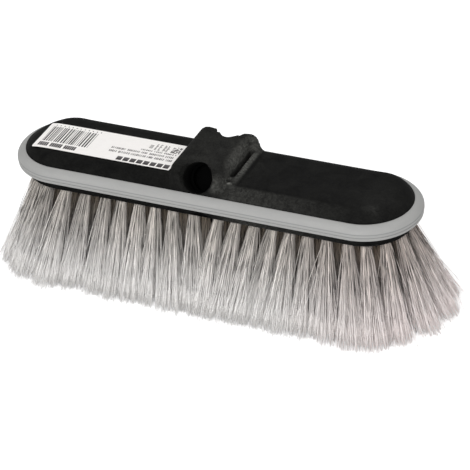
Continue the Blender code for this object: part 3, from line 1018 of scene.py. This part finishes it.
# %% Skirt rim
few_side_steps = 2
rim_section = np.array([(-0.3, 0.4), (-0.3, -0.7), (-0.7, -1.1), (-1.7, -1.1), (-2.1, -0.7),
                        (-2.1, 0.4)]) * MM

rim_mesh = carried_round("skirt_rim", rim_section + [0, underside_z], few_side_steps, block_plastic)
rim = add_piece("skirt_rim", rim_mesh)
print("skirt rim:", len(rim.data.polygons), "faces")

# %% [markdown]
# ## The underside
#
# Each tuft sits in a drilled hole with a small countersink. The holes could be drawn by a
# material, but then the roots would stand on a flat face. So the plate is the plan of the block's
# underside inside its skirt, and one Boolean takes all the holes out.

# %% Underside plate
skirt_wall = 2.5 * MM
plate_gap = 0.1 * MM
plate_thickness = 3 * MM
plate_end_steps = 33
hole_radius = 3.05 * MM
countersink = 0.45 * MM
hole_steps = 28


def plate_mesh():
    """The inset plan as a ring at two levels, with a flat cap on each."""
    centres, outward = plan_path(plate_end_steps, few_side_steps)
    plan = centres + (block_half_width - skirt_wall - plate_gap) * outward
    count = len(plan)
    low = np.column_stack([plan, np.full(count, underside_z)])
    high = np.column_stack([plan, np.full(count, underside_z + plate_thickness)])
    quads = grid_quads(2, count, around=True)
    caps = np.array([np.arange(count)[::-1], np.arange(count, 2 * count)])
    return mesh_of("underside_plate", np.concatenate([low, high]), [quads, caps], block_plastic,
                   smooth=False)


def hole_cutters():
    """A cone frustum and a cylinder at each tuft, as one profile turned about the hole."""
    profile = np.array([(hole_radius + 2 * countersink, -countersink),
                        (hole_radius, countersink), (hole_radius, 2 * plate_thickness)])
    turn = np.linspace(0, 2 * np.pi, hole_steps, endpoint=False)
    ring = np.stack([np.cos(turn), np.sin(turn)], axis=1)
    flat = all_tufts[:, None, None, :] + profile[None, :, 0, None, None] * ring
    level = np.broadcast_to(underside_z + profile[None, :, 1, None], flat.shape[:3])
    points = np.concatenate([flat, level[..., None]], axis=-1).reshape(-1, 3)
    each = 3 * hole_steps
    quads = grid_quads(3, hole_steps, around=True)
    caps = np.array([np.arange(hole_steps)[::-1], np.arange(2 * hole_steps, each)])
    shift = each * np.arange(len(all_tufts))[:, None, None]
    groups = [(group[None] + shift).reshape(-1, group.shape[1]) for group in (quads, caps)]
    return mesh_of("hole_cutters", points, groups, block_plastic, smooth=False)


def drilled_plate():
    """The plate with the holes taken out, as a plain mesh with no modifier left."""
    plate = bpy.data.objects.new("plate_blank", plate_mesh())
    cutter = bpy.data.objects.new("hole_cutters", hole_cutters())
    for helper in (plate, cutter):
        scene.collection.objects.link(helper)
    drill = plate.modifiers.new("drill", "BOOLEAN")
    drill.operation = "DIFFERENCE"
    drill.object = cutter
    drill.solver = "EXACT"
    graph = bpy.context.evaluated_depsgraph_get()
    mesh = bpy.data.meshes.new_from_object(plate.evaluated_get(graph))
    for helper in (plate, cutter):
        bpy.data.objects.remove(helper)
    mesh.name = "underside_plate"
    mesh.shade_smooth()
    mesh.set_sharp_from_angle(angle=smooth_angle)
    return mesh


plate = add_piece("underside_plate", drilled_plate())
print("underside plate:", len(plate.data.polygons), "faces")

# %% [markdown]
# ## How the bristles lie
#
# A tuft leans where storage and use have combed it: outwards along both sides and both ends, to
# the left over most of the front, and with a parting near the boss. A random lean for each tuft
# would not show that order. So the comb is a line through a few measured leans, which says how
# far a tuft's middle has moved at the tips.

# %% The comb
comb_x = np.array([-116, -105, -89, -75, -62, -51, -40, -28, -17, -5, 4,
                   10, 21, 34, 45, 56, 66, 79, 91, 104, 116]) * MM
comb_lean = np.array([-25.5, -21.5, -16, -12.5, -9.5, -7.3, -5.4, -3, -0.5, 0.5, -4,
                      -10, -10.5, -10.5, -10.5, -6, -2, 3, 7, 13.5, 21]) * MM
side_lean = 13.5 * MM
back_right_lean = 11 * MM
back_left_lean = 6.5 * MM
left_front_y = -14.8 * MM
outer_row_y = 2 * row_pitch


def tuft_lean(tufts):
    """(along, across) at the tips: along is read from the comb, across grows with the row.

    At the right end the back tufts lean along more than the front ones, at the left end less.
    """
    x, y = tufts[:, 0], tufts[:, 1]
    into_right = np.clip(x - straight_half_length, 0, outer_row_y) / outer_row_y
    into_left = np.clip(-x - straight_half_length, 0, outer_row_y) / outer_row_y
    along = np.interp(x, comb_x, comb_lean)
    along = along + back_right_lean * into_right * y / outer_row_y
    along = along + back_left_lean * into_left * np.clip((y - left_front_y) / row_pitch, 0, 1)
    across = side_lean * y / outer_row_y
    return np.stack([along, across], axis=1)


beside_parting = np.array([[-5, 0], [10, 0]]) * MM
print("lean beside the parting in mm:", np.round(tuft_lean(beside_parting) / MM, 1))

# %% [markdown]
# ## Thin tubes
#
# Blender's hair curves could make the tufts, but a part for reuse needs real meshes. So a bristle
# is a thin tube with three sides, and one function turns any number of middle lines into tubes.
# Three sides are enough, because a bristle is hardly a pixel wide.

# %% Tubes
def tubes(centres, thickness):
    """Three-sided tubes: point = centre + thickness / 2 * (cos, sin), for each level of each."""
    count, levels = centres.shape[:2]
    turn = 2 * np.pi * np.arange(3) / 3
    ring = np.stack([np.cos(turn), np.sin(turn), np.zeros(3)], axis=1)
    points = centres[:, :, None, :] + thickness[..., None, None] / 2 * ring
    quads = grid_quads(levels, 3, around=True)[:, ::-1]
    last = 3 * (levels - 1)
    caps = np.array([[0, 1, 2], [last + 2, last + 1, last]])
    shift = 3 * levels * np.arange(count)[:, None, None]
    groups = [(quads[None] + shift).reshape(-1, 4), (caps[None] + shift).reshape(-1, 3)]
    return points.reshape(-1, 3), groups


tube_points, _ = tubes(np.zeros((1, 4, 3)), np.ones((1, 4)))
print("a tube with 4 levels has", len(tube_points), "points")

# %% [markdown]
# ## Roots and locks
#
# A tuft's roots fill a small disc. A sunflower pattern spreads them evenly without rows, as
# bristles pressed into a round hole lie. Neighbours draw together into locks, which gives the
# streaks that a real tuft shows. A real bristle is about 0.2 mm thick, too fine for the render,
# so fewer are drawn, twice as thick.

# %% Roots and locks
bristles_a_tuft = 150
locks_a_tuft = 24
golden_angle = np.pi * (3 - 5**0.5)
root_disc = 2.4 * MM


def sunflower():
    """Evenly spread places in the root disc: radius * sqrt((n + 0.5) / count), golden angle * n."""
    number = np.arange(bristles_a_tuft)
    spot = np.sqrt((number + 0.5) / bristles_a_tuft)
    angle = number * golden_angle
    return root_disc * spot[:, None] * np.stack([np.cos(angle), np.sin(angle)], axis=1)


def nearest_locks(disc, count, random):
    """For every tuft some bristles are picked as locks. Each bristle joins the nearest one."""
    pick = random.choice(bristles_a_tuft, (count, locks_a_tuft))
    lock_spots = disc[pick]
    apart = np.linalg.norm(disc[None, :, None, :] - lock_spots[:, None, :, :], axis=-1)
    lock = apart.argmin(axis=2)
    return lock, np.take_along_axis(lock_spots, lock[..., None], axis=1), apart.min(axis=2)


print(bristles_a_tuft * len(all_tufts), "bristles in all, in", locks_a_tuft, "locks a tuft")

# %% [markdown]
# ## Tips
#
# The tips spread to a disc almost four times as wide as the roots. A tuft's bristles are all cut
# to one length, so those that lean far end higher, and the cut is a little ragged. A few bristles
# stray, most of them at the right end, where the brush has been used most.

# %% Tips and middle lines
trim_length = np.array([67, 69, 72, 72, 66, 67.5]) * MM
trim_length_x = np.array([-110, -84, -70, -60, 60, 112]) * MM
ragged_tip = 2.2 * MM
stray_share = np.array([0.002, 0.008, 0.06])
stray_share_x = np.array([-60, 0, 110]) * MM
stray_reach = 6.5 * MM
tip_limit = np.array([155, 52]) * MM
bow_range = (0.85, 1.15)
crimp = 0.2 * MM
root_sunk = 1.2 * MM
bristle_shares = np.array([0, 0.1, 0.21, 0.32, 0.43, 0.54, 0.65, 0.76, 0.88, 1.0])


def trimmed_level(tufts, aside, random):
    """All bristles are cut to one length L, so a tip d aside ends at sqrt(L^2 - d^2) below."""
    ragged = ragged_tip * random.random(aside.shape) ** 2
    cut = np.interp(tufts[:, 0], trim_length_x, trim_length)[:, None]
    return ragged + np.maximum(underside_z - np.sqrt(cut**2 - aside**2), 0)


def strayed(tufts, tips, low, random):
    """Moves the tips of a few bristles aside and up, more of them towards the right."""
    chance = np.interp(tufts[:, 0], stray_share_x, stray_share)[:, None]
    stray = random.random(low.shape) < chance
    tips = tips + stray[..., None] * random.normal(0, stray_reach, tips.shape)
    low = low + stray * np.abs(random.normal(0, stray_reach, low.shape))
    return np.clip(tips, -tip_limit, tip_limit), low


def bowed_lines(roots, tips, low, random):
    """Middle lines: root + (tip - root) * share ^ bow across, with small random crimps."""
    bow = random.uniform(*bow_range, (*low.shape, 1, 1))
    share = bristle_shares[:, None]
    across = roots[:, :, None] + (tips - roots)[:, :, None] * share**bow
    across = across + crimp * np.sqrt(share) * random.normal(0, 1, across.shape)
    top = underside_z + root_sunk
    level = top + (low - top)[..., None] * bristle_shares
    return np.concatenate([across, level[..., None]], axis=-1)


print("trimmed to", trim_length.min() / MM, "to", trim_length.max() / MM, "mm")

# %% [markdown]
# ## All bristles of a slice
#
# A bristle's tone says how bright it is beside its neighbours. Light could do this alone, but the
# drawn bristles are fewer than the real ones and shade each other too little, so the tone makes
# up for it. One function then puts the steps together for a whole slice.

# %% Bristles of a slice
root_scatter = 0.05 * MM
tip_spread = np.array([3.85, 3.15])
tip_scatter = np.array([1.7, 1.4]) * MM
lean_scatter = 0.8 * MM
lock_pull = 0.36
inner_row_reach = 15 * MM
lock_tone_spread = 0.35
bristle_tone_spread = 0.9
side_dimming = 1.4
side_dimming_power = 6
lock_edge_dimming = 0.9
lock_edge_limit = 1.5


def bristle_tones(disc, lock, from_lock, random):
    """A tone for each lock and each bristle, lower at a tuft's two sides and a lock's edge."""
    tone = random.normal(0, lock_tone_spread, (len(lock), locks_a_tuft))
    tone = np.take_along_axis(tone, lock, axis=1)
    tone = tone + random.normal(0, bristle_tone_spread, lock.shape)
    beside = np.abs(disc[:, 0]) / root_disc
    lock_radius = root_disc / np.sqrt(locks_a_tuft)
    edge = np.minimum(from_lock / lock_radius, lock_edge_limit)
    return tone - side_dimming * beside**side_dimming_power - lock_edge_dimming * edge**2


def bristle_lines(tufts, random):
    """The middle lines of a slice's bristles, their tones, and 1 for those of inner tufts."""
    disc = sunflower()
    count = len(tufts)
    scatter = random.normal(0, root_scatter, (count, bristles_a_tuft, 2))
    roots = tufts[:, None, :] + disc + scatter
    lock, lock_spot, from_lock = nearest_locks(disc, count, random)
    spread = tip_spread * (disc + lock_pull * (lock_spot - disc))
    lean = tuft_lean(tufts)[:, None, :] + random.normal(0, lean_scatter, (count, 1, 2))
    tips = tufts[:, None, :] + lean + spread + random.normal(0, tip_scatter, spread.shape)
    low = trimmed_level(tufts, np.linalg.norm(tips - roots, axis=-1), random)
    tips, low = strayed(tufts, tips, low, random)
    lines = bowed_lines(roots, tips, low, random)
    tone = bristle_tones(disc, lock, from_lock, random)
    past_end = np.maximum(np.abs(tufts[:, 0]) - straight_half_length, 0)
    from_middle = np.hypot(past_end, tufts[:, 1])
    inner = np.broadcast_to(from_middle[:, None] < inner_row_reach, tone.shape)
    return lines.reshape(-1, len(bristle_shares), 3), tone.ravel(), inner.ravel()


sample = bristle_lines(all_tufts[:1], np.random.default_rng(0))[0]
print("a tuft's tips reach", round(np.ptp(sample[:, -1, 0]) / MM, 1), "mm across")

# %% [markdown]
# ## Split ends
#
# The ends of real bristles are split, so that they hold water and don't scratch the paint. Each
# bristle gets three fine hairs near its tip, which start on it and part from it.

# %% Hairs
hairs_a_bristle = 3
hair_shares = np.array([0, 0.5, 1.0])
hair_root_share = 0.74
hair_scatter = 1.35 * MM


def hair_lines(lines, random):
    """Hairs start on their bristle near its tip and part from it by about a millimetre."""
    a, b, tip = lines[:, -3], lines[:, -2], lines[:, -1]
    part = (hair_root_share - bristle_shares[-3]) / (bristle_shares[-2] - bristle_shares[-3])
    start = a + (b - a) * part
    start = np.repeat(start, hairs_a_bristle, axis=0)
    tip = np.repeat(tip, hairs_a_bristle, axis=0)
    aside = random.normal(0, hair_scatter, (len(tip), 2))
    level = np.abs(tip[:, 2] + random.normal(0, hair_scatter, len(tip)))
    end = np.column_stack([tip[:, :2] + aside, level])
    return start[:, None] + (end - start)[:, None] * hair_shares[:, None]


print(hairs_a_bristle * len(sample), "hairs in a tuft")

# %% [markdown]
# ## Bristle plastic
#
# The bristles are polystyrene, crimped and split at their ends. The plastic is a warm pale grey,
# and the split ends scatter more light, so tips look whiter. A faint painted pink light falls on
# them towards the right. Four values ride on the vertices: how far down the bristle they are, the
# bristle's tone (darker at a lock's edge and at a tuft's sides, where bristles shade each other),
# whether its tuft is an inner one, and its number. Noise along each bristle gives every one its own
# streaks, which fade out towards the tips. The roots get painted shade from the block above them,
# and inner tufts stand in the brown half light under the block, drawn as painted brown shade on
# their upper parts.

# %% Bristle material
streaks_along = 3.5
streaks_apart = 7.31
tone_reach = 1.5
pink_start = 50 * MM
pink_end = 120 * MM


def bristle_plastic():
    """Grey at the root to near white at the tip, moved by tone, and painted pink light at the
    right.

    The colour is mixed from the value down, with painted shade at the roots and painted brown shade
    on the inner tufts, then multiplied by streak * tone, which is evened out towards the tip, and
    by the painted pink light.
    """
    material, tree, shader, place = new_material("polystyrene_bristle_grey")
    down, tone, number, inner = [
        add_node(tree, "ShaderNodeAttribute", {}, "Fac", attribute_name=name)
        for name in ("down", "tone", "number", "inner")]
    paler = add_node(tree, "ShaderNodeMapRange", {"Value": down, "From Min": 0.3,
                     "From Max": 0.85}, interpolation_type="SMOOTHSTEP")
    body = add_node(tree, "ShaderNodeMix", {"Factor": paler, 6: "#DAD5D0", 7: "#FDFBF9"}, 2,
                    data_type="RGBA")
    # Painted shade at the roots, under the block
    past_root = add_node(tree, "ShaderNodeMapRange", {"Value": down, "From Min": 0.05,
                         "From Max": 0.4})
    shaded = add_node(tree, "ShaderNodeMix", {"Factor": past_root, 6: "#C6BFB7", 7: body}, 2,
                      data_type="RGBA")
    # Painted brown shade on the upper parts of inner tufts
    high = add_node(tree, "ShaderNodeMapRange", {"Value": down, "From Min": 0.6,
                    "From Max": 0.15})
    inner_shade = add_node(tree, "ShaderNodeMath", {0: high, 1: inner}, operation="MULTIPLY")
    dimmed = add_node(tree, "ShaderNodeMix", {"Factor": inner_shade, 6: shaded, 7: "#9C8D7B"}, 2,
                      data_type="RGBA")
    along = add_node(tree, "ShaderNodeMath", {0: down, 1: streaks_along}, operation="MULTIPLY")
    apart = add_node(tree, "ShaderNodeMath", {0: number, 1: streaks_apart}, operation="MULTIPLY")
    spot = add_node(tree, "ShaderNodeCombineXYZ", {"X": apart, "Y": along})
    streak = add_node(tree, "ShaderNodeTexNoise", {"Vector": spot, "Scale": 1.0, "Detail": 2},
                      "Fac")
    lit = add_node(tree, "ShaderNodeMapRange", {"Value": streak, "From Min": 0.36,
                   "From Max": 0.48, "To Min": 0.06, "To Max": 1.16})
    bright = add_node(tree, "ShaderNodeMapRange", {"Value": tone, "From Min": -tone_reach,
                      "From Max": tone_reach, "To Min": 0.6, "To Max": 1.4})
    shade = add_node(tree, "ShaderNodeMath", {0: lit, 1: bright}, operation="MULTIPLY")
    even = add_node(tree, "ShaderNodeMapRange", {"Value": down, "From Min": 0.47,
                    "From Max": 0.86})
    evened = add_node(tree, "ShaderNodeMix", {"Factor": even, 2: shade, 3: 1.0},
                      data_type="FLOAT")
    toned = add_node(tree, "ShaderNodeVectorMath", {0: dimmed, 1: evened}, operation="MULTIPLY")
    # Painted pink light towards the right
    x = add_node(tree, "ShaderNodeSeparateXYZ", {0: place}, "X")
    right = add_node(tree, "ShaderNodeMapRange", {"Value": x, "From Min": pink_start,
                     "From Max": pink_end})
    pink_light = add_node(tree, "ShaderNodeMix", {"Factor": right, 6: "#FFFFFF", 7: "#FFF8F8"}, 2,
                    data_type="RGBA")
    colour = add_node(tree, "ShaderNodeVectorMath", {0: toned, 1: pink_light}, operation="MULTIPLY")
    set_inputs(tree, shader, {"Base Color": colour, "IOR": 1.55, "Roughness": 0.5})
    return material


bristle_material = bristle_plastic()
print("made", bristle_material.name)

# %% [markdown]
# ## The bristles of every slice
#
# Each slice gets its own mesh and its own seed, so that it comes out the same in every run. The
# piece stands for the slice of the model with the same number.

# %% Bristles of every slice
root_thickness = 0.42 * MM
tip_thickness = 0.3 * MM
hair_thickness = 0.17 * MM


def set_attribute(mesh, name, values):
    """Gives every vertex of the mesh a number that a material can read."""
    mesh.attributes.new(name, "FLOAT", "POINT").data.foreach_set("value", values.astype(np.float32))


def bristle_mesh(name, tufts, seed):
    """The bristles and hairs of one slice as one mesh, with the four values on its vertices."""
    random = np.random.default_rng(seed)
    lines, tone, inner = bristle_lines(tufts, random)
    hairs = hair_lines(lines, random)
    thick = root_thickness + (tip_thickness - root_thickness) * bristle_shares
    fine = hair_thickness * (1 - 0.5 * hair_shares)
    points, groups = tubes(lines, np.broadcast_to(thick, lines.shape[:2]))
    hair_points, hair_groups = tubes(hairs, np.broadcast_to(fine, hairs.shape[:2]))
    groups += [group + len(points) for group in hair_groups]
    mesh = mesh_of(name, np.concatenate([points, hair_points]), groups, bristle_material)
    hair_down = hair_root_share + (1 - hair_root_share) * hair_shares
    down = np.concatenate([np.tile(np.repeat(bristle_shares, 3), len(lines)),
                           np.tile(np.repeat(hair_down, 3), len(hairs))])
    set_attribute(mesh, "down", down)
    for label, values in (("tone", tone), ("inner", inner), ("number", np.arange(len(lines)))):
        on_bristles = np.repeat(values, 3 * len(bristle_shares))
        on_hairs = np.repeat(values, 3 * len(hair_shares) * hairs_a_bristle)
        set_attribute(mesh, label, np.concatenate([on_bristles, on_hairs]))
    return mesh


triangles = 0
for seed, (node, tufts) in enumerate(tufts_of.items()):
    name = node.replace("bristle", "tufts")
    piece = add_piece(name, bristle_mesh(name, tufts, seed), node)
    triangles += sum(len(p.vertices) - 2 for p in piece.data.polygons)
print("bristle triangles:", triangles)
